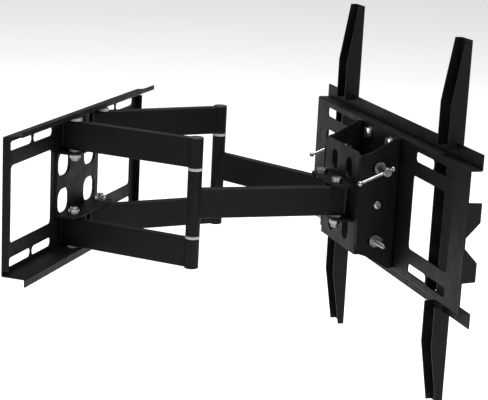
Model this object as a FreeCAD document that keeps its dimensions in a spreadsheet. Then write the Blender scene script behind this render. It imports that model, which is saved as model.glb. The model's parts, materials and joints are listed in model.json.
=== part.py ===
import FreeCAD, Part
import math
import os

import Sketcher

# Full motion television wall mount: a wall plate, two pairs of folding arms, a swivelling and tilting
# head, a television plate and two rails that slide along it. Millimetres. X runs along the wall, Z is up
# and the television side is -Y. The origin is the centre of the wall plate's back face, on the wall.
# "near" is the -X side and "far" is the +X side.

Vector = FreeCAD.Vector
doc = FreeCAD.newDocument("tv_wall_mount")

# ---------------------------------------------------------------- driving dimensions
DIMENSIONS = {
    # wall plate
    "wall_width": 450, "wall_top": 97, "wall_bottom": 96, "sheet": 2, "wall_lip": 31, "wall_rise": 3.6,
    "wall_return": 8.8, "wall_foot": 36, "wall_foot_return": 10,
    "wall_flange": 9, "wall_flange_half": 88, "window_half": 54, "window_inner": 80, "window_outer": 204,
    "window_corner": 6, "slot_row": 80.7, "slot_tall": 13.2, "slot_corner": 5.4, "slot_inner": 79.6,
    "slot_middle": 140.6, "slot_outer": 207.5, "slot_bridge": 3.4, "oval_at": 43.8, "oval_wide": 40,
    "oval_low": 9.3, "oval_high": 46, "oval_corner": 14,
    # pivot bracket on the wall plate
    "pivot_half": 46, "pivot_out": 22.2, "tab_half": 68, "tab_top": 48, "tab_sheet": 2.5, "tab_reach": 36,
    # arms
    "wall_arm": 193, "front_arm": 209, "arm_wide": 15, "tube_wall": 2, "tube_edge": 2.2, "arm_tail": 16,
    "arm_low": 50.5, "arm_high": 92, "front_half": 20.9, "front_tip": 12, "knuckle_r": 10.1,
    "pin_r": 6, "mid_knuckle": 46.5, "cap_tall": 1.4, "plug_deep": 10,
    # pivots
    "bolt_r": 5, "fit_gap": 0.06, "nut_flats": 14, "nut_tall": 8, "bolt_tip": 3.5,
    "washer_r": 9.2, "play": 0.2,
    # head
    "head_spacing": 58, "head_out": 77.3, "head_offset": 12, "head_half": 66.4, "head_high": 73,
    "head_face": 60, "head_sheet": 3, "head_back": 18, "head_dip": 5, "head_dip_run": 16,
    "head_oval_at": 27,
    "head_oval_z": 45, "head_oval_wide": 21.5, "head_oval_tall": 31, "yoke_z": 22.9, "yoke_half": 54,
    "yoke_reach": 88, "yoke_corner": 10,
    # tilt bracket and its clamps
    "tilt_rise": 2, "tilt_half": 70, "tilt_high": 94, "tilt_axis": 31, "clamp_z": 53, "clamp_r": 4,
    "clamp_washer_r": 8.7, "clamp_slot": 25, "clamp_slot_tall": 9.4, "knob_r": 6.2, "knob_long": 27,
    "bar_r": 2, "bar_half": 26, "bar_slid": 16, "ball_r": 3.6, "stud_r": 3, "stud_long": 30,
    "mount_bolt_x": 38.5, "mount_bolt_z": 82, "mount_bolt_r": 4, "mount_washer_r": 8.5,
    # television plate
    "tv_half": 269, "tv_high": 96.8, "tv_lip": 18.2, "tv_return": 19.8, "tv_window_inner": 102,
    "tv_window_outer": 225.5, "tv_window_half": 52.6, "tv_slot_inner": 106, "tv_slot_middle": 165.7,
    "tv_slot_outer": 225.5, "tv_slot_row": 79.9, "tv_slot_tall": 14.2,
    # rails
    "rail_at": 181, "rail_wide": 33.5, "rail_half": 253, "rail_out": 25.6, "rail_tip": 15.5,
    "rail_front": 1.7, "rail_taper": 168, "rail_hook": 109, "vesa_hole_r": 4.25, "vesa_pitch": 100,
    "vesa_slot": 26,
}
# Angles of the pose in degrees about +Z: both near arms and the head, measured from +X.
NEAR_WALL_ARM_ANGLE = -96.5
NEAR_FRONT_ARM_ANGLE = -55.0
HEAD_ANGLE = 37.2
TOMMY_BAR_ANGLE = -22.0

sheet = doc.addObject("Spreadsheet::Sheet", "dims")
for row, (alias, number) in enumerate(DIMENSIONS.items(), start=1):
    sheet.set("A%d" % row, alias)
    sheet.set("B%d" % row, str(number))
    sheet.setAlias("B%d" % row, alias)
doc.recompute()

# ---------------------------------------------------------------- small tools
ALONG = {"x": Vector(1, 0, 0), "y": Vector(0, 1, 0), "z": Vector(0, 0, 1)}
PLANES = {"x": "YZ_Plane", "y": "XZ_Plane", "z": "XY_Plane"}


def bound(text):
    """Write bare sheet names in a formula as dims.name."""
    words = []
    word = ""
    for letter in text + " ":
        if letter.isalnum() or letter == "_" or letter == ".":
            word += letter
            continue
        words.append("dims." + word if word in DIMENSIONS else word)
        words.append(letter)
        word = ""
    return "".join(words).strip()


def number(text):
    """The present value of a formula, for places where a plain number is needed."""
    return float(sheet.evalExpression(bound(text).replace("dims.", "")))


def place(item, base):
    for axis, formula in zip("xyz", base):
        item.setExpression("Placement.Base." + axis, bound(formula))
    return item


def box(name, corner, size):
    """A box from its lowest corner and its three lengths, all formulas."""
    item = doc.addObject("Part::Box", name)
    for prop, formula in zip(("Length", "Width", "Height"), size):
        item.setExpression(prop, bound(formula))
    return place(item, corner)


def rod(name, start, radius, length, along="z"):
    """A cylinder from the centre of its first end."""
    item = doc.addObject("Part::Cylinder", name)
    item.setExpression("Radius", bound(radius))
    item.setExpression("Height", bound(length))
    item.Placement.Rotation = FreeCAD.Rotation(Vector(0, 0, 1), ALONG[along])
    return place(item, start)


def ball(name, centre, radius):
    item = doc.addObject("Part::Sphere", name)
    item.setExpression("Radius", bound(radius))
    return place(item, centre)


def fuse(name, pieces):
    item = doc.addObject("Part::MultiFuse", name)
    item.Shapes = pieces
    item.Refine = True
    return item


def cut(name, base, tools):
    item = doc.addObject("Part::Cut", name)
    item.Base = base
    item.Tool = tools[0] if len(tools) == 1 else fuse(name + "_tools", tools)
    item.Refine = True
    return item


def group(name, pieces):
    """Several equal fasteners as one node of separate solids."""
    item = doc.addObject("Part::Compound", name)
    item.Links = pieces
    return item


def straight(edge, axis):
    if edge.Curve.TypeId != "Part::GeomLine":
        return False
    return abs(edge.tangentAt(edge.FirstParameter).dot(ALONG[axis])) > 0.99


def upright_at(edge, half_width, y):
    """An upright edge on either side, at this distance from the middle and this depth."""
    spot = edge.CenterOfMass
    return straight(edge, "z") and abs(abs(spot.x) - half_width) < 0.1 and abs(spot.y - y) < 0.1


def is_circle(edge):
    return edge.Curve.TypeId == "Part::GeomCircle"


def rounded(name, base, radius, wanted):
    """Round the edges that wanted(edge) picks."""
    doc.recompute()
    size = number(radius)
    edges = [(i, size, size) for i, edge in enumerate(base.Shape.Edges, start=1) if wanted(edge)]
    item = doc.addObject("Part::Fillet", name)
    item.Base = base
    item.Edges = edges
    return item


def round_end(name, base, radius, along, side):
    """Round the circular rim of a cylinder at its low (-1) or high (+1) end."""
    doc.recompute()
    direction = ALONG[along]
    centres = [edge.CenterOfMass.dot(direction) for edge in base.Shape.Edges if is_circle(edge)]
    target = max(centres) if side > 0 else min(centres)

    def at_end(edge):
        return is_circle(edge) and abs(edge.CenterOfMass.dot(direction) - target) < 0.01

    return rounded(name, base, radius, at_end)


def hexagon(name, start, flats, height, along="z"):
    """A hexagon whose corners are rounded off at both ends, as on a nut or a bolt head."""
    prism = doc.addObject("Part::Prism", name + "_prism")
    prism.Polygon = 6
    prism.setExpression("Circumradius", bound("(%s) / sqrt(3)" % flats))
    prism.setExpression("Height", bound(height))
    prism.Placement.Rotation = FreeCAD.Rotation(Vector(0, 0, 1), ALONG[along])
    place(prism, start)
    blank = rod(name + "_round", start, "(%s) * 0.57" % flats, height, along)
    smooth = rounded(name + "_smooth", blank, "(%s) * 0.1" % flats, is_circle)
    item = doc.addObject("Part::Common", name)
    item.Base = prism
    item.Tool = smooth
    return item


def opening(name, centre_x, centre_z, wide, tall, corner, y_start, depth):
    """A rounded rectangular cutter that goes through sheet lying in the XZ plane."""
    blank = box(name + "_blank", ("%s - (%s)/2" % (centre_x, wide), y_start,
                                  "%s - (%s)/2" % (centre_z, tall)),
                (wide, depth, tall))
    return rounded(name, blank, corner, lambda edge: straight(edge, "y"))


def padded(name, normal, points, length, midplane=False):
    """A body padded from a closed outline of formulas, on the origin plane square to one axis."""
    body = doc.addObject("PartDesign::Body", name)
    sketch = body.newObject("Sketcher::SketchObject", name + "_outline")
    plane = [item for item in body.Origin.OriginFeatures if item.Role == PLANES[normal]][0]
    sketch.AttachmentSupport = [(plane, "")]
    sketch.MapMode = "FlatFace"
    spots = [(number(u), number(v)) for u, v in points]
    count = len(spots)
    for i, (u, v) in enumerate(spots):
        next_u, next_v = spots[(i + 1) % count]
        sketch.addGeometry(Part.LineSegment(Vector(u, v, 0), Vector(next_u, next_v, 0)))
    for i in range(count):
        sketch.addConstraint(Sketcher.Constraint("Coincident", i, 2, (i + 1) % count, 1))
    for i, formulas in enumerate(points):
        for kind, formula, value in zip(("DistanceX", "DistanceY"), formulas, spots[i]):
            index = sketch.addConstraint(Sketcher.Constraint(kind, -1, 1, i, 1, value))
            sketch.setExpression("Constraints[%d]" % index, bound(formula))
    pad = body.newObject("PartDesign::Pad", name + "_pad")
    pad.Profile = sketch
    pad.setExpression("Length", bound(length))
    if midplane:
        pad.Midplane = True
    body.Tip = pad
    return body


def mirrored_pair(make):
    """Call make(sign, suffix) for the near (-1) and the far (+1) side."""
    return [make(-1, "near"), make(1, "far")]


nodes = {}


def keep(label, item, frame=None):
    """Name a finished sub-part and put it in its frame."""
    item.Label = label
    if frame is not None:
        item.Placement = frame
    nodes[label] = item
    return item


# ---------------------------------------------------------------- where the linkage stands
def polar(centre, radius, degrees):
    angle = math.radians(degrees)
    return centre + Vector(radius * math.cos(angle), radius * math.sin(angle), 0)


def elbow_between(first, second, first_radius, second_radius):
    """The meeting point of two circles on the +X side, in plan."""
    line = second - first
    reach = line.Length
    along = (first_radius ** 2 - second_radius ** 2 + reach ** 2) / (2 * reach)
    across = math.sqrt(first_radius ** 2 - along ** 2)
    unit = line / reach
    normal = Vector(-unit.y, unit.x, 0)
    choices = [first + unit * along + normal * across, first + unit * along - normal * across]
    return max(choices, key=lambda point: point.x)


def angle_of(start, end):
    return math.degrees(math.atan2(end.y - start.y, end.x - start.x))


wall_arm = number("wall_arm")
front_arm = number("front_arm")
near_pivot = Vector(-number("pivot_half"), -number("pivot_out"), 0)
far_pivot = Vector(number("pivot_half"), -number("pivot_out"), 0)
near_elbow = polar(near_pivot, wall_arm, NEAR_WALL_ARM_ANGLE)
near_head_pivot = polar(near_elbow, front_arm, NEAR_FRONT_ARM_ANGLE)
far_head_pivot = polar(near_head_pivot, number("head_spacing"), HEAD_ANGLE)
far_elbow = elbow_between(far_pivot, far_head_pivot, wall_arm, front_arm)


def frame_at(point, degrees, rise=0.0):
    return FreeCAD.Placement(Vector(point.x, point.y, rise), FreeCAD.Rotation(Vector(0, 0, 1), degrees))


wall_arm_frames = {
    "near": frame_at(near_pivot, NEAR_WALL_ARM_ANGLE),
    "far": frame_at(far_pivot, angle_of(far_pivot, far_elbow)),
}
front_arm_frames = {
    "near": frame_at(near_elbow, NEAR_FRONT_ARM_ANGLE),
    "far": frame_at(far_elbow, angle_of(far_elbow, far_head_pivot)),
}
# The head's own frame: x along the television plate, y = 0 on the plate's wall-side face.
head_middle = (near_head_pivot + far_head_pivot) / 2
head_origin = polar(head_middle, number("head_out"), HEAD_ANGLE - 90)
yoke_frame = frame_at(head_origin, HEAD_ANGLE)
head_frame = frame_at(head_origin, HEAD_ANGLE, number("tilt_rise"))
tv_origin = polar(head_origin, number("head_offset"), HEAD_ANGLE + 180)
tv_frame = frame_at(tv_origin, HEAD_ANGLE, number("tilt_rise"))


# ---------------------------------------------------------------- wall plate
def wall_plate():
    outline = [
        ("0", "-wall_bottom"), ("0", "wall_top"),
        ("-wall_lip + sheet", "wall_top + wall_rise"), ("-wall_lip + sheet", "wall_top + wall_return"),
        ("-wall_lip", "wall_top + wall_return"), ("-wall_lip", "wall_top - sheet + wall_rise"),
        ("-sheet", "wall_top - sheet"), ("-sheet", "-wall_bottom + sheet"),
        ("-wall_foot", "-wall_bottom + sheet"), ("-wall_foot", "-wall_bottom - wall_foot_return"),
        ("-wall_foot + sheet", "-wall_bottom - wall_foot_return"), ("-wall_foot + sheet", "-wall_bottom"),
    ]
    channel = padded("wall_channel", "x", outline, "wall_width", midplane=True)
    bends = ((0, number("wall_top")), (0, -number("wall_bottom")),
             (-number("wall_lip"), number("wall_top - sheet + wall_rise")),
             (-number("wall_foot"), -number("wall_bottom - sheet")))

    def outer_bend(edge):
        if not straight(edge, "x"):
            return False
        spot = edge.CenterOfMass
        return any(abs(spot.y - y) < 0.1 and abs(spot.z - z) < 0.1 for y, z in bends)

    bent = rounded("wall_channel_bent", channel, "sheet + 0.4", outer_bend)
    flanges = mirrored_pair(lambda sign, side: box(
        side + "_wall_flange",
        ("%d*wall_width/2 - (%d+1)/2*sheet" % (sign, sign), "-sheet - wall_flange", "-wall_flange_half"),
        ("sheet", "wall_flange + sheet", "2*wall_flange_half")))
    solid = fuse("wall_plate_solid", [bent] + flanges)
    cutters = []
    for sign in (-1, 1):
        middle = "%d*(window_inner + window_outer)/2" % sign
        cutters.append(opening("wall_window_%d" % sign, middle, "0", "window_outer - window_inner",
                               "2*window_half", "window_corner", "-sheet - 3", "sheet + 6"))
        for level in (-1, 1):
            slots = (("slot_inner", "slot_middle - slot_bridge/2"),
                     ("slot_middle + slot_bridge/2", "slot_outer"))
            for index, (start, end) in enumerate(slots):
                cutters.append(opening(
                    "wall_slot_%d_%d_%d" % (sign, level, index), "%d*((%s) + (%s))/2" % (sign, start, end),
                    "%d*slot_row" % level, "(%s) - (%s)" % (end, start), "slot_tall", "slot_tall/2 - 0.01",
                    "-sheet - 3", "sheet + 6"))
            cutters.append(opening(
                "wall_oval_%d_%d" % (sign, level), "%d*oval_at" % sign,
                "%d*(oval_low + oval_high)/2" % level,
                "oval_wide", "oval_high - oval_low", "oval_corner", "-sheet - 3", "sheet + 6"))
        cutters.append(rod("wall_pivot_hole_%d" % sign, ("%d*pivot_half" % sign, "-pivot_out", "-150"),
                           "bolt_r + fit_gap", "300"))
    keep("wall_plate", cut("wall_plate_cut", solid, cutters))


def pivot_bracket():
    outline = [("-sheet", "-tab_top"), ("-sheet", "tab_top"), ("-tab_reach", "tab_top"),
               ("-tab_reach", "tab_top - tab_sheet"), ("-sheet - tab_sheet", "tab_top - tab_sheet"),
               ("-sheet - tab_sheet", "-tab_top + tab_sheet"), ("-tab_reach", "-tab_top + tab_sheet"),
               ("-tab_reach", "-tab_top")]
    channel = padded("pivot_channel", "x", outline, "2*tab_half", midplane=True)
    corner_y = -number("tab_reach")
    back_y = -number("sheet")
    shaped = rounded("pivot_channel_shaped", channel, "12",
                     lambda edge: straight(edge, "z") and abs(edge.CenterOfMass.y - corner_y) < 0.1)
    bent = rounded("pivot_channel_bent", shaped, "tab_sheet + 0.5",
                   lambda edge: straight(edge, "x") and abs(edge.CenterOfMass.y - back_y) < 0.1)
    cutters = []
    for sign in (-1, 1):
        for level in (-1, 1):
            cutters.append(opening(
                "bracket_oval_%d_%d" % (sign, level), "%d*oval_at" % sign,
                "%d*(oval_low + tab_top - 3)/2" % level,
                "oval_wide", "tab_top - 3 - oval_low", "oval_corner", "-sheet - tab_sheet - 1",
                "tab_sheet + 2"))
        cutters.append(rod("bracket_pivot_hole_%d" % sign, ("%d*pivot_half" % sign, "-pivot_out", "-60"),
                           "bolt_r + fit_gap", "120"))
    keep("pivot_bracket", cut("pivot_bracket_cut", bent, cutters))


def wall_pivots():
    bolts = []
    washers = []
    for sign, side in ((-1, "near"), (1, "far")):
        x = "%d*pivot_half" % sign
        # The upper lip slopes: its bolts end a little higher, and its washers meet it on their wall side.
        for level, word, bolt_end, washer_end in ((1, "upper", "wall_top + 2", "wall_top - sheet + 1.3"),
                                                  (-1, "lower", "wall_bottom", "wall_bottom - sheet")):
            inner = "tab_top - tab_sheet - nut_tall - bolt_tip"
            low = inner if level > 0 else "-(%s)" % bolt_end
            shank = rod("%s_%s_shank" % (side, word), (x, "-pivot_out", low), "bolt_r",
                        "(%s) - (%s)" % (bolt_end, inner))
            head_low = "tab_top - tab_sheet - nut_tall" if level > 0 else "-tab_top + tab_sheet"
            head = hexagon("%s_%s_hexagon" % (side, word), (x, "-pivot_out", head_low), "nut_flats",
                           "nut_tall")
            bolts.append(fuse("%s_%s_pivot_bolt" % (side, word), [shank, head]))
            for index, (start, end) in enumerate((("tab_top", "arm_low - play"),
                                                  ("arm_high + play", washer_end))):
                base = start if level > 0 else "-(%s)" % end
                disc = rod("%s_%s_disc_%d" % (side, word, index), (x, "-pivot_out", base), "washer_r",
                           "(%s) - (%s)" % (end, start))
                hole = rod("%s_%s_disc_hole_%d" % (side, word, index), (x, "-pivot_out", base + " - 1"),
                           "bolt_r", "20")
                washers.append(cut("%s_%s_washer_%d" % (side, word, index), disc, [hole]))
    keep("wall_pivot_bolts", group("wall_pivot_bolt_set", bolts))
    keep("wall_pivot_washers", group("wall_pivot_washer_set", washers))


# ---------------------------------------------------------------- arms
def square_tube(name, start, end, low, high):
    """A rectangular tube along x with rounded edges, open at both ends."""
    blank = box(name + "_blank", (start, "-arm_wide/2", low), ("(%s) - (%s)" % (end, start), "arm_wide",
                                                              "(%s) - (%s)" % (high, low)))
    outside = rounded(name + "_outside", blank, "tube_edge", lambda edge: straight(edge, "x"))
    inside = box(name + "_inside", ("(%s) - 1" % start, "-arm_wide/2 + tube_wall",
                                    "(%s) + tube_wall" % low),
                 ("(%s) - (%s) + 2" % (end, start), "arm_wide - 2*tube_wall",
                  "(%s) - (%s) - 2*tube_wall" % (high, low)))
    return cut(name, outside, [inside])


def wall_arm_tube(side, word, low, high):
    name = "%s_%s_wall_arm" % (side, word)
    tube = square_tube(name + "_tube", "-arm_tail", "wall_arm - pin_r - 1", low, high)
    knuckle = rod(name + "_knuckle", ("wall_arm", "0", low), "knuckle_r", "(%s) - (%s)" % (high, low))
    welded = fuse(name + "_welded", [tube, knuckle])
    pin_hole = rod(name + "_pin_hole", ("wall_arm", "0", "(%s) - 1" % low), "pin_r",
                   "(%s) - (%s) + 2" % (high, low))
    bolt_hole = rod(name + "_bolt_hole", ("0", "0", "(%s) - 1" % low), "bolt_r + fit_gap",
                    "(%s) - (%s) + 2" % (high, low))
    keep(name, cut(name + "_cut", welded, [pin_hole, bolt_hole]), wall_arm_frames[side])


def end_plug(name, tip, into, low, high):
    """A plastic plug pressed into an open tube end; tip is the outer face and into its direction."""
    face_start = tip if into > 0 else "(%s) - 2" % tip
    face_x = "(%s) - 2" % tip if into > 0 else tip
    face = box(name + "_face", (face_x, "-arm_wide/2", low), ("2", "arm_wide", "(%s) - (%s)" % (high, low)))
    smooth = rounded(name + "_smooth", face, "tube_edge", lambda edge: straight(edge, "x"))
    core_x = tip if into > 0 else "(%s) - plug_deep" % tip
    core = box(name + "_core", (core_x, "-arm_wide/2 + tube_wall", "(%s) + tube_wall" % low),
               ("plug_deep", "arm_wide - 2*tube_wall", "(%s) - (%s) - 2*tube_wall" % (high, low)))
    return fuse(name, [smooth, core])


def wall_arms(side):
    frame = wall_arm_frames[side]
    levels = (("upper", "arm_low", "arm_high"), ("lower", "-arm_high", "-arm_low"))
    plugs = []
    for word, low, high in levels:
        wall_arm_tube(side, word, low, high)
        plugs.append(end_plug("%s_%s_tail_plug" % (side, word), "-arm_tail", 1, low, high))
    keep(side + "_wall_arm_plugs", group(side + "_plug_set", plugs), frame)
    pin = rod(side + "_elbow_rod", ("wall_arm", "0", "-arm_high"), "pin_r", "2*arm_high")
    keep(side + "_elbow_pin", pin, FreeCAD.Placement(
        frame.multVec(Vector(wall_arm, 0, -number("arm_high"))), frame.Rotation))
    pin.setExpression("Placement.Base.x", None)
    pin.setExpression("Placement.Base.y", None)
    pin.setExpression("Placement.Base.z", None)
    washers = []
    caps = []
    for level in (1, -1):
        low = "mid_knuckle + play" if level > 0 else "-arm_low"
        disc = rod("%s_elbow_disc_%d" % (side, level), ("wall_arm", "0", low), "knuckle_r + 0.3",
                   "arm_low - mid_knuckle - play")
        hole = rod("%s_elbow_disc_hole_%d" % (side, level), ("wall_arm", "0", low + " - 1"), "pin_r", "20")
        washers.append(cut("%s_elbow_washer_%d" % (side, level), disc, [hole]))
        cap_low = "arm_high" if level > 0 else "-arm_high - cap_tall"
        cap = rod("%s_elbow_cap_blank_%d" % (side, level), ("wall_arm", "0", cap_low), "knuckle_r",
                  "cap_tall")
        caps.append(round_end("%s_elbow_cap_%d" % (side, level), cap, "cap_tall - 0.4", "z", level))
    keep(side + "_elbow_washers", group(side + "_elbow_washer_set", washers), frame)
    keep(side + "_elbow_caps", group(side + "_elbow_cap_set", caps), frame)


def front_arms(side):
    frame = front_arm_frames[side]
    tip = "front_arm + front_tip"
    tube = square_tube(side + "_front_tube", "pin_r + 1", tip + " - 2", "-front_half", "front_half")
    knuckle = rod(side + "_middle_knuckle", ("0", "0", "-mid_knuckle"), "knuckle_r", "2*mid_knuckle")
    welded = fuse(side + "_front_welded", [tube, knuckle])
    pin_hole = rod(side + "_front_pin_hole", ("0", "0", "-mid_knuckle - 1"), "pin_r + fit_gap",
                   "2*mid_knuckle + 2")
    bolt_hole = rod(side + "_front_bolt_hole", ("front_arm", "0", "-front_half - 1"), "bolt_r + fit_gap",
                    "2*front_half + 2")
    keep(side + "_front_arm", cut(side + "_front_cut", welded, [pin_hole, bolt_hole]), frame)
    plug = end_plug(side + "_front_plug", tip + " - 2", -1, "-front_half", "front_half")
    core_hole = rod(side + "_plug_bolt_hole", ("front_arm", "0", "-front_half"), "bolt_r + 1",
                    "2*front_half")
    keep(side + "_front_arm_plug", cut(side + "_front_plug_cut", plug, [core_hole]), frame)


# ---------------------------------------------------------------- head
def head_bracket():
    face_outline = [("-head_half", "-head_high"), ("head_half", "-head_high"),
                    ("head_half", "head_high - head_dip"), ("head_half - head_dip_run", "head_high"),
                    ("-head_half + head_dip_run", "head_high"), ("-head_half", "head_high - head_dip")]
    face = padded("head_face_plate", "y", face_outline, "head_sheet")
    place(face, ("0", "head_face", "0"))
    cheek_outline = [("head_back", "-head_high + 28"), ("head_back + 14", "-head_high"),
                     ("head_face - 1", "-head_high"), ("head_face - 1", "head_high - head_dip"),
                     ("head_face - 12", "head_high"), ("head_back + 14", "head_high"),
                     ("head_back", "head_high - 28")]
    cheeks = []
    for sign in (-1, 1):
        cheek = padded("head_cheek_%d" % sign, "x", cheek_outline, "head_sheet")
        place(cheek, ("%d*head_half - (%d+1)/2*head_sheet" % (sign, sign), "0", "0"))
        cheeks.append(cheek)
    bent = rounded("head_bent", fuse("head_solid", [face] + cheeks), "head_sheet + 1",
                   lambda edge: upright_at(edge, number("head_half"), number("head_face")))
    cutters = []
    for sign in (-1, 1):
        for level in (-1, 1):
            cutters.append(opening("head_oval_%d_%d" % (sign, level), "%d*head_oval_at" % sign,
                                   "%d*head_oval_z" % level, "head_oval_wide", "head_oval_tall",
                                   "head_oval_wide/2 - 0.5", "head_face - head_sheet - 2",
                                   "head_sheet + 4"))
    for z in ("0", "clamp_z", "-clamp_z"):
        cutters.append(rod("head_cross_hole_" + z.replace("-", "low_"), ("-head_half - 5", "tilt_axis", z),
                           "clamp_r + fit_gap", "2*head_half + 10", "x"))
    keep("head_bracket", cut("head_cut", bent, cutters), head_frame)


def pivot_tabs():
    outline = [("-yoke_half", "head_face"), ("yoke_half", "head_face"),
               ("yoke_half", "yoke_reach - yoke_corner"),
               ("yoke_half - yoke_corner", "yoke_reach"), ("-yoke_half + yoke_corner", "yoke_reach"),
               ("-yoke_half", "yoke_reach - yoke_corner")]
    for word, low in (("upper", "yoke_z"), ("lower", "-yoke_z - head_sheet")):
        tab = padded(word + "_tab_blank", "z", outline, "head_sheet")
        place(tab, ("0", "0", low))
        holes = [rod("%s_tab_hole_%d" % (word, sign),
                     ("%d*head_spacing/2" % sign, "head_out", low + " - 1"),
                     "bolt_r + fit_gap", "head_sheet + 2") for sign in (-1, 1)]
        keep(word + "_pivot_tab", cut(word + "_tab_cut", tab, holes), yoke_frame)


def head_pivots():
    x = {"near": "-head_spacing/2", "far": "head_spacing/2"}
    top = "yoke_z + head_sheet"
    shank = rod("near_head_shank", (x["near"], "head_out", "-yoke_z - head_sheet - nut_tall - 5"), "bolt_r",
                "2*yoke_z + 2*head_sheet + nut_tall + 5")
    cap = hexagon("near_head_hexagon", (x["near"], "head_out", top), "nut_flats", "nut_tall")
    keep("near_pivot_bolt", fuse("near_pivot_bolt_solid", [shank, cap]), yoke_frame)
    nut = hexagon("near_nut_blank", (x["near"], "head_out", "-yoke_z - head_sheet - nut_tall"),
                  "nut_flats", "nut_tall")
    thread = rod("near_nut_thread", (x["near"], "head_out", "-yoke_z - head_sheet - nut_tall - 1"),
                 "bolt_r", "nut_tall + 2")
    keep("near_pivot_nut", cut("near_pivot_nut_cut", nut, [thread]), yoke_frame)
    # The far pivot is two short screws that stop inside the tabs, so that the far arm's end stays free.
    screws = []
    for level in (1, -1):
        low = "yoke_z + 0.5" if level > 0 else "-yoke_z - head_sheet - nut_tall - 5"
        long = "head_sheet - 0.5 + nut_tall" if level > 0 else "head_sheet - 0.5 + nut_tall + 5"
        stem = rod("far_screw_stem_%d" % level, (x["far"], "head_out", low), "bolt_r", long)
        hex_low = top if level > 0 else "-yoke_z - head_sheet - nut_tall"
        head = hexagon("far_screw_hexagon_%d" % level, (x["far"], "head_out", hex_low), "nut_flats",
                       "nut_tall")
        screws.append(fuse("far_screw_%d" % level, [stem, head]))
    keep("far_pivot_screws", group("far_pivot_screw_set", screws), yoke_frame)
    washers = []
    for side in ("near", "far"):
        for level in (1, -1):
            low = "front_half + play" if level > 0 else "-yoke_z"
            disc = rod("%s_head_disc_%d" % (side, level), (x[side], "head_out", low), "washer_r",
                       "yoke_z - front_half - play")
            hole = rod("%s_head_disc_hole_%d" % (side, level), (x[side], "head_out", low + " - 1"),
                       "bolt_r + fit_gap", "10")
            washers.append(cut("%s_head_washer_%d" % (side, level), disc, [hole]))
    keep("head_pivot_washers", group("head_pivot_washer_set", washers), yoke_frame)


def side_rod(name, sign, inner, outer, y, z, radius):
    """A cylinder along x between two distances from the head's middle, on one side."""
    start = inner if sign > 0 else "-(%s)" % outer
    return rod(name, (start, y, z), radius, "(%s) - (%s)" % (outer, inner), "x")


def side_hexagon(name, sign, inner, outer, y, z, flats):
    start = inner if sign > 0 else "-(%s)" % outer
    return hexagon(name, (start, y, z), flats, "(%s) - (%s)" % (outer, inner), "x")


def tilt_pivots():
    bolts = []
    for sign, side in ((-1, "near"), (1, "far")):
        head = side_rod(side + "_tilt_head_blank", sign, "tilt_half + play", "tilt_half + play + 4",
                        "tilt_axis", "0", "knob_r")
        dome = round_end(side + "_tilt_head", head, "3", "x", sign)
        stem = side_rod(side + "_tilt_stem", sign, "head_half - 9", "tilt_half + play + 1", "tilt_axis",
                        "0", "clamp_r")
        socket = side_hexagon(side + "_tilt_socket", sign, "tilt_half + play + 1.6", "tilt_half + play + 5",
                              "tilt_axis", "0", "5")
        bolts.append(cut(side + "_tilt_bolt", fuse(side + "_tilt_bolt_solid", [dome, stem]), [socket]))
    keep("tilt_pivot_bolts", group("tilt_pivot_bolt_set", bolts), head_frame)


def weld_nuts():
    """Threaded nuts welded inside the head's cheeks, for the pivots, the clamp screws and the studs."""
    nuts = []
    for sign in (-1, 1):
        for index, z in enumerate(("-clamp_z", "0", "clamp_z")):
            blank = side_hexagon("weld_nut_blank_%d_%d" % (sign, index), sign, "head_half - head_sheet - 5",
                                 "head_half - head_sheet", "tilt_axis", z, "13")
            thread = side_rod("weld_nut_thread_%d_%d" % (sign, index), sign, "head_half - 12", "head_half",
                              "tilt_axis", z, "clamp_r + fit_gap")
            nuts.append(cut("weld_nut_%d_%d" % (sign, index), blank, [thread]))
    keep("weld_nuts", group("weld_nut_set", nuts), head_frame)


def clamp_washers():
    washers = []
    for sign in (-1, 1):
        for level in (-1, 1):
            z = "%d*clamp_z" % level
            disc = side_rod("clamp_disc_%d_%d" % (sign, level), sign, "tilt_half + play",
                            "tilt_half + play + 2", "tilt_axis", z, "clamp_washer_r")
            hole = side_rod("clamp_disc_hole_%d_%d" % (sign, level), sign, "tilt_half - 2", "tilt_half + 5",
                            "tilt_axis", z, "clamp_r + fit_gap")
            washers.append(cut("clamp_washer_%d_%d" % (sign, level), disc, [hole]))
    keep("clamp_washers", group("clamp_washer_set", washers), head_frame)


def clamp_screw(side, sign):
    """The upper clamp screw: a shank in the head's nut and a long round head with a cross hole."""
    face = "tilt_half + play + 2.2"
    shank = side_rod(side + "_clamp_shank", sign, "head_half - 10", face + " + 1", "tilt_axis", "clamp_z",
                     "clamp_r")
    knob_blank = side_rod(side + "_knob_blank", sign, face, face + " + knob_long", "tilt_axis", "clamp_z",
                          "knob_r")
    knob = round_end(side + "_knob", knob_blank, "1", "x", sign)
    solid = fuse(side + "_clamp_solid", [shank, knob])
    bore = rod(side + "_bar_bore", ("0", "0", "0"), "bar_r + fit_gap", "4*knob_r")
    turn = FreeCAD.Rotation(Vector(0, 0, 1), bar_direction(sign))
    centre = Vector(sign * bar_plane(), number("tilt_axis"), number("clamp_z"))
    for axis in "xyz":
        bore.setExpression("Placement.Base." + axis, None)
    bore.Placement = FreeCAD.Placement(centre - bar_direction(sign) * number("2*knob_r"), turn)
    keep(side + "_clamp_screw", cut(side + "_clamp_cut", solid, [bore]), head_frame)


def bar_plane():
    return number("tilt_half + play + 2.2 + knob_long - 5")


def bar_direction(sign):
    angle = math.radians(TOMMY_BAR_ANGLE)
    return Vector(0, math.cos(angle), math.sin(angle))


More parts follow.
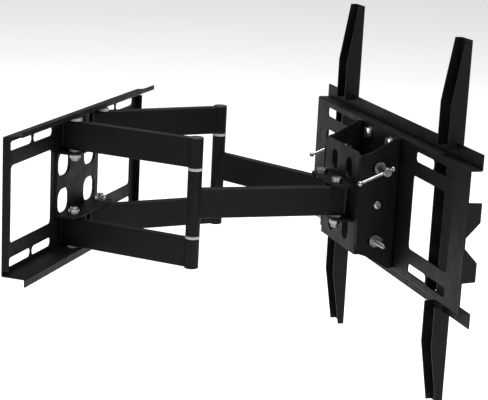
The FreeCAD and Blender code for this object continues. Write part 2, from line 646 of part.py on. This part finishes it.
def tommy_bar(side, sign):
    """A sliding bar with a ball at each end, pushed through so that its short end meets the knob."""
    stem = rod(side + "_bar_stem", ("0", "0", "-bar_half"), "bar_r", "2*bar_half")
    low = ball(side + "_bar_ball_low", ("0", "0", "-bar_half"), "ball_r")
    high = ball(side + "_bar_ball_high", ("0", "0", "bar_half"), "ball_r")
    bar = fuse(side + "_bar_solid", [stem, low, high])
    direction = bar_direction(sign)
    middle = Vector(sign * bar_plane(), number("tilt_axis"), number("clamp_z"))
    centre = middle + direction * number("bar_slid")
    local = FreeCAD.Placement(centre, FreeCAD.Rotation(Vector(0, 0, 1), direction))
    keep(side + "_tommy_bar", bar, head_frame.multiply(local))


def lock_studs():
    studs = []
    nuts = []
    for sign, side in ((-1, "near"), (1, "far")):
        outer = "tilt_half + play + 2 + stud_long"
        blank = side_rod(side + "_stud_blank", sign, "tilt_half - 2", outer, "tilt_axis", "-clamp_z",
                         "stud_r")
        tipped = round_end(side + "_stud_tip", blank, "1.5", "x", sign)
        shank = side_rod(side + "_stud_shank", sign, "head_half - 10", "tilt_half + 0.5", "tilt_axis",
                         "-clamp_z", "clamp_r")
        studs.append(fuse(side + "_stud", [tipped, shank]))
        nut = side_hexagon(side + "_stud_nut_blank", sign, "tilt_half + play + 2", "tilt_half + play + 6.5",
                           "tilt_axis", "-clamp_z", "10")
        thread = side_rod(side + "_stud_nut_thread", sign, "tilt_half", "tilt_half + 10", "tilt_axis",
                          "-clamp_z", "stud_r")
        nuts.append(cut(side + "_stud_nut", nut, [thread]))
    keep("lock_studs", group("lock_stud_set", studs), head_frame)
    keep("lock_nuts", group("lock_nut_set", nuts), head_frame)


# ---------------------------------------------------------------- tilt bracket and television plate
def tilt_bracket():
    web = box("tilt_web", ("-tilt_half", "0", "-tilt_high"), ("2*tilt_half", "head_sheet", "2*tilt_high"))
    outline = [("0", "-tilt_high"), ("10", "-tilt_high"), ("42", "-76"), ("53.5", "-72"),
               ("head_face", "-54"), ("head_face", "54"), ("53.5", "72"), ("42", "76"),
               ("10", "tilt_high"), ("0", "tilt_high")]
    cheeks = []
    for sign in (-1, 1):
        cheek = padded("tilt_cheek_%d" % sign, "x", outline, "head_sheet")
        place(cheek, ("%d*tilt_half - (%d+1)/2*head_sheet" % (sign, sign), "0", "0"))
        cheeks.append(cheek)
    bent = rounded("tilt_bent", fuse("tilt_solid", [web] + cheeks), "head_sheet + 1",
                   lambda edge: upright_at(edge, number("tilt_half"), 0))
    cutters = [rod("tilt_axis_hole", ("-tilt_half - 5", "tilt_axis", "0"), "clamp_r + fit_gap",
                   "2*tilt_half + 10", "x")]
    for level in (-1, 1):
        blank = box("clamp_slot_blank_%d" % level,
                    ("-tilt_half - 5", "tilt_axis - clamp_slot/2",
                     "%d*clamp_z - clamp_slot_tall/2" % level),
                    ("2*tilt_half + 10", "clamp_slot", "clamp_slot_tall"))
        cutters.append(rounded("clamp_slot_%d" % level, blank, "clamp_slot_tall/2 - 0.3",
                               lambda edge: straight(edge, "x")))
    for x_sign in (-1, 1):
        for z_sign in (-1, 1):
            cutters.append(rod("tilt_bolt_hole_%d_%d" % (x_sign, z_sign),
                               ("%d*mount_bolt_x" % x_sign, "-5", "%d*mount_bolt_z" % z_sign),
                               "mount_bolt_r + fit_gap", "15", "y"))
    keep("tilt_bracket", cut("tilt_cut", bent, cutters), head_frame)


def mount_bolts():
    bolts = []
    washers = []
    nuts = []
    for x_sign in (-1, 1):
        for z_sign in (-1, 1):
            tag = "%d_%d" % (x_sign, z_sign)
            x = "%d*mount_bolt_x" % x_sign
            z = "%d*mount_bolt_z" % z_sign
            stem = rod("mount_stem_" + tag, (x, "-sheet - 9", z), "mount_bolt_r",
                       "sheet + 9 + head_sheet + 3", "y")
            head = hexagon("mount_head_" + tag, (x, "head_sheet + 1.6", z), "13", "5.3", "y")
            bolts.append(fuse("mount_bolt_" + tag, [stem, head]))
            disc = rod("mount_disc_" + tag, (x, "head_sheet", z), "mount_washer_r", "1.6", "y")
            hole = rod("mount_disc_hole_" + tag, (x, "-1", z), "mount_bolt_r", "10", "y")
            washers.append(cut("mount_washer_" + tag, disc, [hole]))
            nut = hexagon("mount_nut_blank_" + tag, (x, "-sheet - 6.5", z), "13", "6.5", "y")
            thread = rod("mount_nut_thread_" + tag, (x, "-sheet - 10", z), "mount_bolt_r", "12", "y")
            nuts.append(cut("mount_nut_" + tag, nut, [thread]))
    keep("bracket_bolts", group("bracket_bolt_set", bolts), head_frame)
    keep("bracket_washers", group("bracket_washer_set", washers), head_frame)
    keep("bracket_nuts", group("bracket_nut_set", nuts), head_frame)


def tv_plate():
    outline = [("0", "-tv_high"), ("0", "tv_high"), ("-tv_lip + sheet", "tv_high"),
               ("-tv_lip + sheet", "tv_high + tv_return"), ("-tv_lip", "tv_high + tv_return"),
               ("-tv_lip", "tv_high - sheet"), ("-sheet", "tv_high - sheet"),
               ("-sheet", "-tv_high + sheet"),
               ("-tv_lip", "-tv_high + sheet"), ("-tv_lip", "-tv_high - tv_return"),
               ("-tv_lip + sheet", "-tv_high - tv_return"), ("-tv_lip + sheet", "-tv_high")]
    channel = padded("tv_channel", "x", outline, "2*tv_half", midplane=True)
    bend_y = (0, -number("tv_lip"))
    bend_z = (number("tv_high"), number("tv_high - sheet"))

    def outer_bend(edge):
        if not straight(edge, "x"):
            return False
        spot = edge.CenterOfMass
        return any(abs(spot.y - y) < 0.1 and abs(abs(spot.z) - z) < 0.1 for y, z in zip(bend_y, bend_z))

    bent = rounded("tv_channel_bent", channel, "sheet + 0.4", outer_bend)
    stop_outline = [("-1", "6"), ("-21", "27"), ("-21", "53"), ("-1", "54")]
    stops = []
    for sign in (-1, 1):
        for level in (-1, 1):
            outline = [(y, z if level > 0 else "-" + z) for y, z in stop_outline]
            stop = padded("rail_stop_%d_%d" % (sign, level), "x", outline, "sheet")
            place(stop, ("%d*tv_half - (%d+1)/2*sheet" % (sign, sign), "0", "0"))
            stops.append(stop)
    solid = fuse("tv_solid", [bent] + stops)
    cutters = []
    for sign in (-1, 1):
        cutters.append(opening("tv_window_%d" % sign, "%d*(tv_window_inner + tv_window_outer)/2" % sign,
                               "0", "tv_window_outer - tv_window_inner", "2*tv_window_half",
                               "window_corner",
                               "-sheet - 3", "sheet + 6"))
        slots = (("tv_slot_inner", "tv_slot_middle - slot_bridge/2"),
                 ("tv_slot_middle + slot_bridge/2", "tv_slot_outer"))
        for level in (-1, 1):
            for index, (start, end) in enumerate(slots):
                cutters.append(opening(
                    "tv_slot_%d_%d_%d" % (sign, level, index), "%d*((%s) + (%s))/2" % (sign, start, end),
                    "%d*tv_slot_row" % level, "(%s) - (%s)" % (end, start), "tv_slot_tall", "slot_corner",
                    "-sheet - 3", "sheet + 6"))
        for level in (-1, 1):
            cutters.append(rod("tv_bolt_hole_%d_%d" % (sign, level),
                               ("head_offset + %d*mount_bolt_x" % sign, "-10", "%d*mount_bolt_z" % level),
                               "mount_bolt_r + fit_gap", "20", "y"))
    keep("tv_plate", cut("tv_cut", solid, cutters), tv_frame)


def rail(side, sign):
    """A channel that hooks over the plate's two returns and fills the depth between its lips."""
    slot_back = "-tv_lip - 0.5"
    slot_front = "-tv_lip + sheet + 0.5"
    slot_top = "tv_high + tv_return + 0.3"
    half = [("-rail_tip", "rail_half"), ("-rail_front", "rail_taper"), ("-rail_front", "rail_hook"),
            (slot_front, "rail_hook"), (slot_front, slot_top), (slot_back, slot_top),
            (slot_back, "tv_high - sheet - 0.5"), ("-sheet - 0.5", "tv_high - sheet - 0.5")]
    upper = [("-rail_out", "rail_half")] + half
    lower = [(y, "-(%s)" % z) for y, z in reversed(upper)]
    block = padded(side + "_rail_block", "x", upper + lower, "rail_wide", midplane=True)
    back_y = -number("rail_out")

    def web_corner(edge):
        return straight(edge, "z") and abs(edge.CenterOfMass.y - back_y) < 0.1

    smooth = rounded(side + "_rail_smooth", block, "sheet + 0.4", web_corner)
    hollow = box(side + "_rail_hollow", ("-rail_wide/2 + sheet", "-rail_out + sheet", "-rail_half - 5"),
                 ("rail_wide - 2*sheet", "rail_out + 5", "2*rail_half + 10"))
    cutters = [hollow]
    for step in range(-4, 5):
        tag = "%s_screw_hole_%d" % (side, step)
        z = "%d*vesa_pitch/2" % step
        if step in (-4, -2, 2, 4):
            cutters.append(rod(tag, ("0", "-rail_out - 3", z), "vesa_hole_r", "sheet + 5", "y"))
        else:
            cutters.append(opening(tag, "0", z, "2*vesa_hole_r", "vesa_slot", "vesa_hole_r - 0.1",
                                   "-rail_out - 3", "sheet + 5"))
    keep(side + "_rail", cut(side + "_rail_cut", smooth, cutters), tv_frame.multiply(
        FreeCAD.Placement(Vector(sign * number("rail_at"), 0, 0), FreeCAD.Rotation())))


# ---------------------------------------------------------------- build, check, write
wall_plate()
pivot_bracket()
wall_pivots()
for arm_side in ("near", "far"):
    wall_arms(arm_side)
    front_arms(arm_side)
head_bracket()
pivot_tabs()
head_pivots()
tilt_pivots()
weld_nuts()
clamp_washers()
lock_studs()
for arm_side, arm_sign in (("near", -1), ("far", 1)):
    clamp_screw(arm_side, arm_sign)
    tommy_bar(arm_side, arm_sign)
tilt_bracket()
mount_bolts()
tv_plate()
for arm_side, arm_sign in (("near", -1), ("far", 1)):
    rail(arm_side, arm_sign)
doc.recompute()

for item in doc.Objects:
    if "Invalid" in item.State or "Error" in item.State:
        raise RuntimeError("%s failed: %s" % (item.Name, item.State))
for label, item in nodes.items():
    if item.Shape.isNull() or not item.Shape.isValid() or not item.Shape.Solids:
        raise RuntimeError("%s has no valid shape" % label)

os.makedirs("parts", exist_ok=True)
for label, item in nodes.items():
    item.Shape.exportStep(os.path.join("parts", label + ".step"))
print(len(nodes), "sub-parts")
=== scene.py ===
import json
import math

import bmesh
import bpy
from mathutils import Matrix, Vector


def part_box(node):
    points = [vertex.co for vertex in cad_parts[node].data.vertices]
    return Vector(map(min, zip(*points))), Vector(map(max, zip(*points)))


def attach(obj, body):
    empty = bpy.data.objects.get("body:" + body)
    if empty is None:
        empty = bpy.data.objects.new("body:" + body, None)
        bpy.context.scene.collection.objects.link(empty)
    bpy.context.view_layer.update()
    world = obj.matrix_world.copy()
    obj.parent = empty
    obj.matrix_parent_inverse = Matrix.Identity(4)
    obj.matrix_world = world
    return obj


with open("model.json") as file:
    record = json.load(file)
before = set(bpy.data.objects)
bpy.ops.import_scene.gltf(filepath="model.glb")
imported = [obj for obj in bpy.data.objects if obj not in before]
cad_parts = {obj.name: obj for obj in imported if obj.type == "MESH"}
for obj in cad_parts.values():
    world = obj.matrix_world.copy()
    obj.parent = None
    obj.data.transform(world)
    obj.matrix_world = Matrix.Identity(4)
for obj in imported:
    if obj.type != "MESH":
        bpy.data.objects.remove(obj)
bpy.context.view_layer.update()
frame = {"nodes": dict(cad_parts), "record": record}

NODES = frame["nodes"]
SLOTS = {part["node"]: part["material_slot"] for part in frame["record"]["subparts"]}
MM = 0.001
scene = bpy.context.scene

# The head of the mount is turned about the vertical. Its own axes, seen from above:
HEAD_ANGLE = math.radians(37.2)
HEAD_ALONG = Vector((math.cos(HEAD_ANGLE), math.sin(HEAD_ANGLE), 0))
HEAD_BACK = Vector((-math.sin(HEAD_ANGLE), math.cos(HEAD_ANGLE), 0))
UP = Vector((0, 0, 1))

# Noise hardly ever leaves this band, so colours and roughness are spread over it.
NOISE_LOW = 0.3
NOISE_HIGH = 0.7


# ---------------------------------------------------------------- materials
def new_material(name):
    material = bpy.data.materials.new(name)
    material.use_nodes = True
    shader = material.node_tree.nodes["Principled BSDF"]
    return material, material.node_tree, shader


def noise(tree, scale, detail, stretch=None):
    """Noise in the piece's own coordinates, so that it stays on the piece when it moves."""
    place = tree.nodes.new("ShaderNodeTexCoord")
    source = place.outputs["Object"]
    if stretch is not None:
        mapping = tree.nodes.new("ShaderNodeMapping")
        mapping.inputs["Scale"].default_value = stretch
        tree.links.new(source, mapping.inputs["Vector"])
        source = mapping.outputs["Vector"]
    texture = tree.nodes.new("ShaderNodeTexNoise")
    texture.inputs["Scale"].default_value = scale
    texture.inputs["Detail"].default_value = detail
    tree.links.new(source, texture.inputs["Vector"])
    return texture.outputs["Fac"]


def ramp(tree, value, low, high):
    """A colour that runs from low to high with the noise."""
    node = tree.nodes.new("ShaderNodeValToRGB")
    node.color_ramp.elements[0].position = NOISE_LOW
    node.color_ramp.elements[0].color = (*low, 1)
    node.color_ramp.elements[1].position = NOISE_HIGH
    node.color_ramp.elements[1].color = (*high, 1)
    tree.links.new(value, node.inputs["Fac"])
    return node.outputs["Color"]


def spread(tree, value, low, high):
    """A number that runs from low to high with the noise."""
    node = tree.nodes.new("ShaderNodeMapRange")
    node.inputs["From Min"].default_value = NOISE_LOW
    node.inputs["From Max"].default_value = NOISE_HIGH
    node.inputs["To Min"].default_value = low
    node.inputs["To Max"].default_value = high
    tree.links.new(value, node.inputs["Value"])
    return node.outputs["Result"]


def bumps(tree, layers):
    """Bump nodes chained one on another: (height value, depth in metres, strength)."""
    normal = None
    for height, depth, strength in layers:
        bump = tree.nodes.new("ShaderNodeBump")
        bump.inputs["Distance"].default_value = depth
        bump.inputs["Strength"].default_value = strength
        tree.links.new(height, bump.inputs["Height"])
        if normal is not None:
            tree.links.new(normal, bump.inputs["Normal"])
        normal = bump.outputs["Normal"]
    return normal


def powder_coat():
    """Black powder coat: a fine pebbled skin over sheet steel, with cloudy differences in gloss."""
    material, tree, shader = new_material("powder_coat")
    cloud = noise(tree, scale=14, detail=4)
    speck = noise(tree, scale=900, detail=2)
    tint = ramp(tree, cloud, low=(0.003, 0.003, 0.0034), high=(0.0052, 0.0052, 0.006))
    tree.links.new(tint, shader.inputs["Base Color"])
    tree.links.new(spread(tree, noise(tree, scale=55, detail=5), low=0.46, high=0.6),
                   shader.inputs["Roughness"])
    shader.inputs["Specular IOR Level"].default_value = 0.15
    skin = bumps(tree, [(speck, 0.00025, 0.35), (noise(tree, scale=220, detail=3), 0.0003, 0.2)])
    tree.links.new(skin, shader.inputs["Normal"])
    return material


def zinc_plate():
    """Bright zinc on steel: grey metal, cloudy, with fine turning marks."""
    material, tree, shader = new_material("zinc_plate")
    cloud = noise(tree, scale=130, detail=4)
    tint = ramp(tree, cloud, low=(0.27, 0.275, 0.29), high=(0.44, 0.435, 0.42))
    tree.links.new(tint, shader.inputs["Base Color"])
    shader.inputs["Metallic"].default_value = 1.0
    tree.links.new(spread(tree, noise(tree, scale=420, detail=3), low=0.24, high=0.42),
                   shader.inputs["Roughness"])
    marks = noise(tree, scale=900, detail=2, stretch=(1, 1, 7))
    tree.links.new(bumps(tree, [(marks, 0.0001, 0.25)]), shader.inputs["Normal"])
    return material


def nylon():
    """Off-white nylon washers with a slight grease stain."""
    material, tree, shader = new_material("nylon")
    cloud = noise(tree, scale=160, detail=4)
    tree.links.new(ramp(tree, cloud, low=(0.34, 0.335, 0.32), high=(0.5, 0.49, 0.47)),
                   shader.inputs["Base Color"])
    tree.links.new(spread(tree, noise(tree, scale=300, detail=3), low=0.36, high=0.5),
                   shader.inputs["Roughness"])
    tree.links.new(bumps(tree, [(noise(tree, scale=1200, detail=2), 0.0001, 0.2)]), shader.inputs["Normal"])
    return material


def black_plastic():
    """Moulded black plastic with a fine spark texture."""
    material, tree, shader = new_material("moulded_plastic")
    cloud = noise(tree, scale=40, detail=3)
    tree.links.new(ramp(tree, cloud, low=(0.012, 0.012, 0.012), high=(0.02, 0.02, 0.021)),
                   shader.inputs["Base Color"])
    tree.links.new(spread(tree, noise(tree, scale=500, detail=2), low=0.5, high=0.62),
                   shader.inputs["Roughness"])
    tree.links.new(bumps(tree, [(noise(tree, scale=1800, detail=2), 0.0002, 0.4)]), shader.inputs["Normal"])
    return material


MATERIALS = {
    "black_steel": powder_coat(),
    "zinc_steel": zinc_plate(),
    "white_nylon": nylon(),
    "black_plastic": black_plastic(),
}


def give(piece, slot):
    piece.data.materials.clear()
    piece.data.materials.append(MATERIALS[slot])


# ---------------------------------------------------------------- the CAD pieces
# Sheet metal has a small radius on every cut edge, turned parts and plastic a smaller one.
EDGE = {"black_steel": 0.45 * MM, "zinc_steel": 0.25 * MM, "white_nylon": 0.3 * MM,
        "black_plastic": 0.4 * MM}
SHARP_EDGE = math.radians(40)

for name, node in NODES.items():
    slot = SLOTS[name]
    give(node, slot)
    bevel = node.modifiers.new("edge", "BEVEL")
    bevel.width = EDGE[slot]
    bevel.segments = 2
    bevel.limit_method = "ANGLE"
    bevel.angle_limit = SHARP_EDGE
    bevel.harden_normals = True
    bevel.use_clamp_overlap = True


# ---------------------------------------------------------------- small made details
UPRIGHT = 0.9
WELD_STEP = 0.9 * MM
WELD_END_TAPER = 0.45
WELD_RIPPLE = 0.12
COARSE_PITCH = 1.5 * MM
FINE_PITCH = 1.25 * MM
THREAD_BEAD_PER_PITCH = 0.3
THREAD_SIDES = 5
STEPS_PER_TURN = 16


def middle_of(node):
    low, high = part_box(node)
    return (low + high) / 2


def sweep(name, path, radius, sides=6):
    """A round bead along a path of points."""
    mesh = bpy.data.meshes.new(name)
    build = bmesh.new()
    rings = []
    count = len(path)
    for i, spot in enumerate(path):
        before = path[max(i - 1, 0)]
        after = path[min(i + 1, count - 1)]
        along = (after - before).normalized()
        side = along.orthogonal().normalized()
        if abs(along.z) < UPRIGHT:
            side = along.cross(UP).normalized()
        other = along.cross(side)
        size = radius(i) if callable(radius) else radius
        ring = []
        for k in range(sides):
            turn = 2 * math.pi * k / sides
            around = side * (size * math.cos(turn)) + other * (size * math.sin(turn))
            ring.append(build.verts.new(spot + around))
        rings.append(ring)
    for first, second in zip(rings, rings[1:]):
        for k in range(sides):
            k_next = (k + 1) % sides
            face = build.faces.new((first[k], first[k_next], second[k_next], second[k]))
            face.smooth = True
    build.faces.new(rings[0])
    build.faces.new(rings[-1])
    bmesh.ops.recalc_face_normals(build, faces=build.faces)
    build.to_mesh(mesh)
    build.free()
    return bpy.data.objects.new(name, mesh)


def fix_on(piece, slot, body):
    """Put a made piece in the scene, on a body that it moves with."""
    scene.collection.objects.link(piece)
    give(piece, slot)
    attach(piece, body)


def weld(name, start, end, body, radius=1.3 * MM):
    """A weld bead from start to end, rippled the way a hand-run bead is."""
    length = (end - start).length
    count = max(6, int(length / WELD_STEP))
    path = [start.lerp(end, i / count) for i in range(count + 1)]

    def ripple(i):
        taper = WELD_END_TAPER if i in (0, count) else 1
        return radius * taper * (1 + WELD_RIPPLE * math.cos(i * math.pi))

    fix_on(sweep(name, path, ripple), "black_steel", body)


def helix(name, start, axis, length, radius, body, pitch):
    """A rolled thread: one round bead wound along a bolt from start."""
    axis = axis.normalized()
    side = axis.orthogonal().normalized()
    other = axis.cross(side)
    count = int(length / pitch * STEPS_PER_TURN)
    path = []
    for i in range(count + 1):
        turn = 2 * math.pi * i / STEPS_PER_TURN
        around = side * (radius * math.cos(turn)) + other * (radius * math.sin(turn))
        path.append(start + axis * (pitch * i / STEPS_PER_TURN) + around)
    bead = sweep(name, path, pitch * THREAD_BEAD_PER_PITCH, THREAD_SIDES)
    fix_on(bead, "zinc_steel", body)


# Where the details sit, as on the CAD pieces that they are made on, in millimetres.
PIVOT_APART_HALF = 46
PIVOT_DEPTH = -22.2
HEAD_PIVOT_DEPTH = 77.3
TUBE_HALF = 7.5
KNUCKLE_MEETS_TUBE = 6.9

# Heights above mid-height of the outer tubes, and half the height of the middle tube.
OUTER_TUBE_LOW = 53
OUTER_TUBE_HIGH = 90
MIDDLE_TUBE_HALF = 18.5

TAB_HEIGHT = 26.2
TAB_WELD_HALF = 52
HEAD_WALL_FACE = 60.4
TAB_WELD_RADIUS = 1.5

BRACKET_END = 68.2
BRACKET_WELD_DEPTH = -2.5
STITCH_STARTS = (-36, -10, 16)
STITCH_LENGTH = 20

PIVOT_THREAD_HEIGHT = -38.3
PIVOT_THREAD_LENGTH = 4.2
PIVOT_THREAD_RADIUS = 4.9

STUD_SIDE = 77
STUD_DEPTH = 31
STUD_HEIGHT = -51
STUD_THREAD_LENGTH = 23.5
STUD_THREAD_RADIUS = 2.95

BOLT_SIDE = 38.5
BOLT_DEPTH = -8.6
BOLT_HEIGHTS = {"top": 84, "bottom": -80}
BOLT_THREAD_LENGTH = 2.2
BOLT_THREAD_RADIUS = 3.9

SIGNS = {"near": -1, "far": 1}
PIVOT = {side: Vector((sign * PIVOT_APART_HALF, PIVOT_DEPTH, 0)) * MM for side, sign in SIGNS.items()}
ELBOW = {side: middle_of(side + "_elbow_pin") for side in SIGNS}
HEAD_PIVOT = {"near": middle_of("near_pivot_bolt"), "far": middle_of("far_pivot_screws")}
HEAD_ORIGIN = (HEAD_PIVOT["near"] + HEAD_PIVOT["far"]) / 2 - HEAD_BACK * (HEAD_PIVOT_DEPTH * MM)
HEAD_ORIGIN.z = 0


def on_head(x, y, z):
    """A point in the head's own millimetres: along the plate, towards the wall, up."""
    return HEAD_ORIGIN + (HEAD_ALONG * x + HEAD_BACK * y + UP * z) * MM


def knuckle_welds(tag, centre, toward, low, high, body):
    """The two upright beads where a tube meets its round knuckle."""
    along = Vector((toward.x - centre.x, toward.y - centre.y, 0)).normalized()
    across = Vector((-along.y, along.x, 0))
    for word, sign in (("left", 1), ("right", -1)):
        spot = Vector((centre.x, centre.y, 0)) + along * (KNUCKLE_MEETS_TUBE * MM)
        spot += across * (sign * TUBE_HALF * MM)
        weld("%s_weld_%s" % (tag, word), spot + UP * low, spot + UP * high, body)


for side in SIGNS:
    for word, low, high in (("upper", OUTER_TUBE_LOW, OUTER_TUBE_HIGH),
                            ("lower", -OUTER_TUBE_HIGH, -OUTER_TUBE_LOW)):
        tag = "%s_%s_knuckle" % (side, word)
        knuckle_welds(tag, ELBOW[side], PIVOT[side], low * MM, high * MM, side + "_wall_arms")
    knuckle_welds(side + "_middle_knuckle", ELBOW[side], HEAD_PIVOT[side],
                  -MIDDLE_TUBE_HALF * MM, MIDDLE_TUBE_HALF * MM, side + "_front_arms")

# The two pivot tabs are welded along the head's wall-side face, on their outer sides.
for word, z in (("upper", TAB_HEIGHT), ("lower", -TAB_HEIGHT)):
    weld(word + "_tab_weld", on_head(-TAB_WELD_HALF, HEAD_WALL_FACE, z),
         on_head(TAB_WELD_HALF, HEAD_WALL_FACE, z), "head", TAB_WELD_RADIUS * MM)

# The pivot bracket is stitch-welded to the wall plate down both ends.
for side, sign in SIGNS.items():
    for number, low in enumerate(STITCH_STARTS):
        start = Vector((sign * BRACKET_END, BRACKET_WELD_DEPTH, low)) * MM
        weld("%s_bracket_weld_%d" % (side, number), start, start + UP * (STITCH_LENGTH * MM), "wall")

# Rolled threads where bolt ends and studs stand clear of their nuts.
for side in SIGNS:
    below = HEAD_PIVOT[side].copy()
    below.z = PIVOT_THREAD_HEIGHT * MM
    helix(side + "_pivot_thread", below, UP, PIVOT_THREAD_LENGTH * MM, PIVOT_THREAD_RADIUS * MM,
          "head", COARSE_PITCH)
for side, sign in SIGNS.items():
    stud = on_head(sign * STUD_SIDE, STUD_DEPTH, STUD_HEIGHT)
    helix(side + "_stud_thread", stud, HEAD_ALONG * sign, STUD_THREAD_LENGTH * MM,
          STUD_THREAD_RADIUS * MM, "head", FINE_PITCH)
    for word, z in BOLT_HEIGHTS.items():
        bolt = on_head(sign * BOLT_SIDE, BOLT_DEPTH, z)
        helix("%s_%s_bolt_thread" % (side, word), bolt, -HEAD_BACK,
              BOLT_THREAD_LENGTH * MM, BOLT_THREAD_RADIUS * MM, "tilt_frame", FINE_PITCH)


# ---------------------------------------------------------------- studio
FLOOR_SIZE = 40
FLOOR_LEVEL = -0.42
FLOOR_GLOW = 0.42
LIGHT_SIZE = 2.4
SKY = (0.95, 0.97, 1.0, 1)
SKY_STRENGTH = 0.3


def pale_floor():
    bpy.ops.mesh.primitive_plane_add(size=FLOOR_SIZE, location=(0, 0, FLOOR_LEVEL))
    floor = bpy.context.object
    floor.name = "floor"
    material, tree, shader = new_material("floor")
    cloud = noise(tree, scale=1.5, detail=2)
    tree.links.new(ramp(tree, cloud, low=(0.86, 0.86, 0.86), high=(0.88, 0.88, 0.88)),
                   shader.inputs["Base Color"])
    shader.inputs["Roughness"].default_value = 0.9
    shader.inputs["Specular IOR Level"].default_value = 0.0
    # A little light of its own keeps the far floor as pale as the near floor.
    shader.inputs["Emission Color"].default_value = (1, 1, 1, 1)
    shader.inputs["Emission Strength"].default_value = FLOOR_GLOW
    floor.data.materials.append(material)


def soft_light(name, place, target, power):
    data = bpy.data.lights.new(name, "AREA")
    data.shape = "DISK"
    data.size = LIGHT_SIZE
    data.energy = power
    light = bpy.data.objects.new(name, data)
    light.location = place
    light.rotation_euler = (Vector(target) - Vector(place)).to_track_quat("-Z", "Y").to_euler()
    scene.collection.objects.link(light)


pale_floor()
soft_light("key", (-1.0, -2.4, 3.6), target=(0.05, -0.25, 0), power=115)
soft_light("top", (0.5, 0.3, 3.6), target=(0.05, -0.2, 0), power=110)

world = bpy.data.worlds.new("studio")
world.use_nodes = True
scene.world = world
world.node_tree.nodes["Background"].inputs["Color"].default_value = SKY
world.node_tree.nodes["Background"].inputs["Strength"].default_value = SKY_STRENGTH
scene.view_settings.view_transform = "Standard"
scene.view_settings.look = "None"


# ---------------------------------------------------------------- camera
CAMERA_PLACE = Vector((-1.9678, -0.9132, 0.5008))
CAMERA_FORWARD = Vector((0.922749, 0.304173, -0.236670))
CAMERA_ROLL = math.radians(2.93)
CAMERA_LENS = 110.93
CAMERA_SENSOR = 36
CAMERA_NEAREST = 0.05
CAMERA_FARTHEST = 60


def make_camera():
    data = bpy.data.cameras.new("camera")
    data.lens = CAMERA_LENS
    data.sensor_width = CAMERA_SENSOR
    data.clip_start = CAMERA_NEAREST
    data.clip_end = CAMERA_FARTHEST
    camera = bpy.data.objects.new("camera", data)
    scene.collection.objects.link(camera)
    forward = CAMERA_FORWARD.normalized()
    level_right = forward.cross(UP).normalized()
    level_up = level_right.cross(forward)
    right = level_right * math.cos(CAMERA_ROLL) + level_up * math.sin(CAMERA_ROLL)
    up = level_up * math.cos(CAMERA_ROLL) - level_right * math.sin(CAMERA_ROLL)
    turn = Matrix((right, up, -forward)).transposed().to_4x4()
    camera.matrix_world = Matrix.Translation(CAMERA_PLACE) @ turn
    scene.camera = camera


make_camera()
